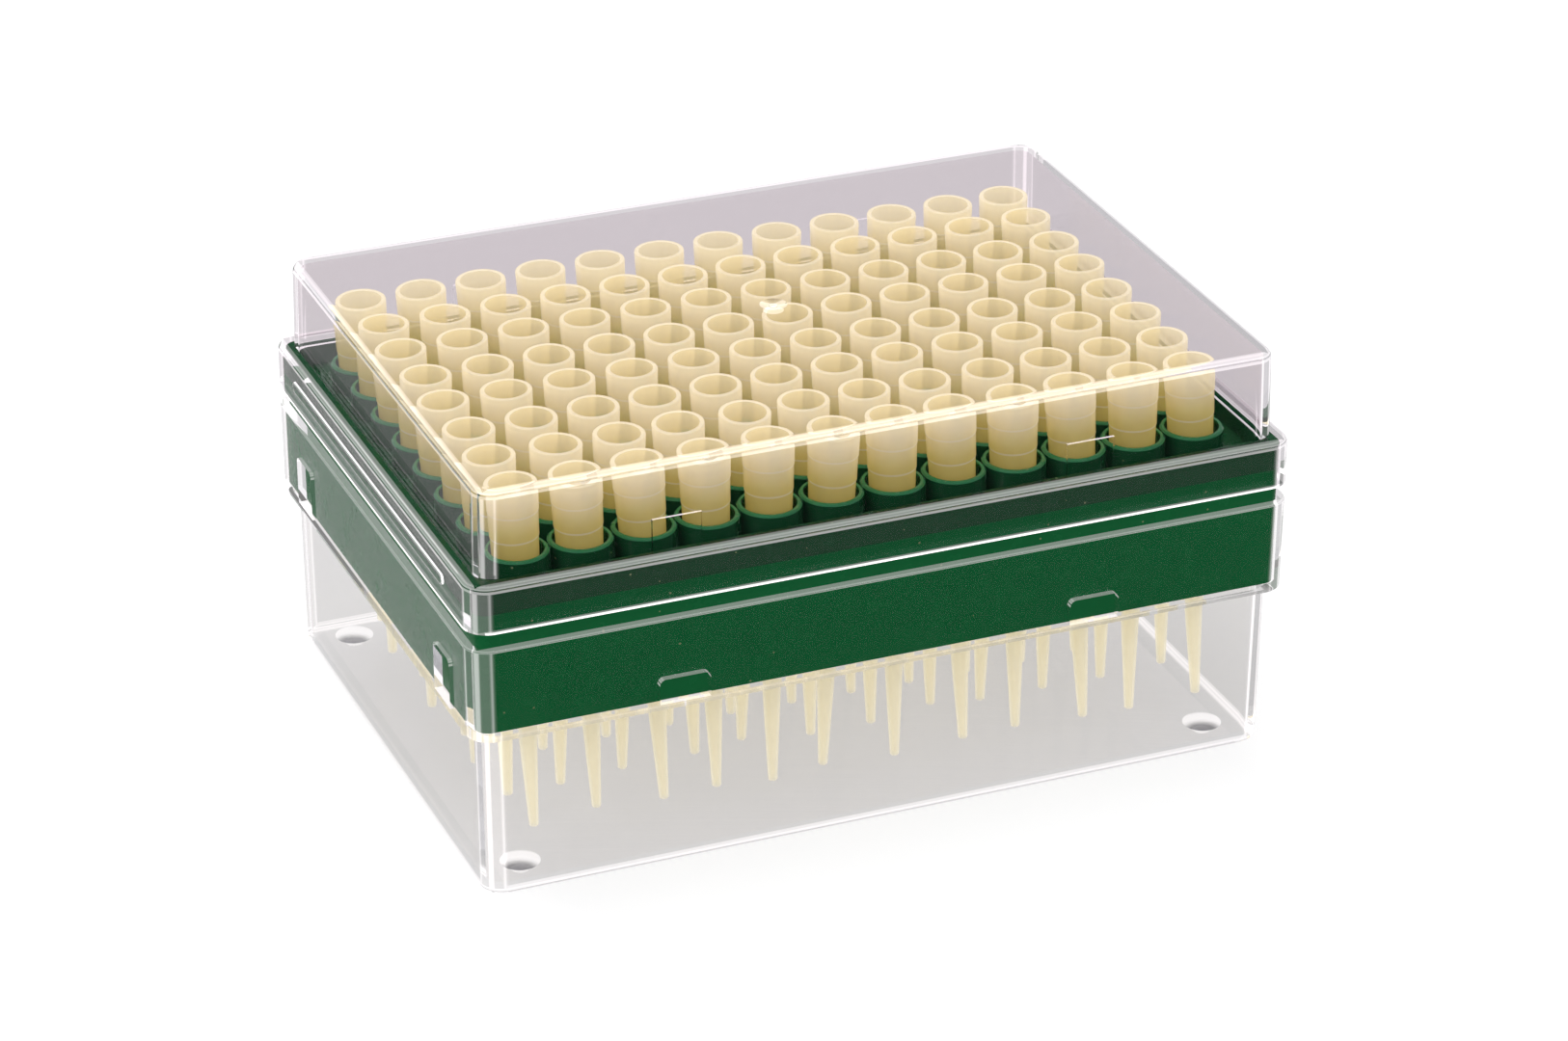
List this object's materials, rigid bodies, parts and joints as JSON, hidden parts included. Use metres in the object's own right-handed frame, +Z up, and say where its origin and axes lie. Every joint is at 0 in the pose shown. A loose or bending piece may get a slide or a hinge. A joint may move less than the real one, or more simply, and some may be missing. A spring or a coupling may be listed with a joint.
{
  "type": "box of pipette tips",
  "caption": "Clear plastic box with a lift-off lid, holding a full rack of yellow pipette tips in a green tray.",
  "frame": {"origin": "bottom centre of the box, on the table plane", "axes": "+Z up out of the lid, +X along the twelve columns of tips (the long way), +Y along the eight rows, away from the long front side"},
  "size_m": [0.1204, 0.0856, 0.0605],
  "materials": {
    "clear_plastic": "clear polished polystyrene",
    "green_plastic": "satin moulded",
    "tip_plastic": "translucent pale yellow"
  },
  "bodies": {
    "base": {"base": "clear_plastic"},
    "rack": {"rack": "green_plastic", "tips_01": "tip_plastic", "tips_02": "tip_plastic", "tips_03": "tip_plastic", "tips_04": "tip_plastic", "tips_05": "tip_plastic", "tips_06": "tip_plastic", "tips_07": "tip_plastic", "tips_08": "tip_plastic", "tips_09": "tip_plastic", "tips_10": "tip_plastic", "tips_11": "tip_plastic", "tips_12": "tip_plastic"},
    "lid": {"lid": "clear_plastic"}
  },
  "joints": [
    {"name": "rack_lift", "type": "slide", "parent": "base", "child": "rack", "axis": [0, 0, 1], "range_m": [0, 0.04]},
    {"name": "lid_lift", "type": "slide", "parent": "rack", "child": "lid", "axis": [0, 0, 1], "range_m": [0, 0.03]}
  ]
}
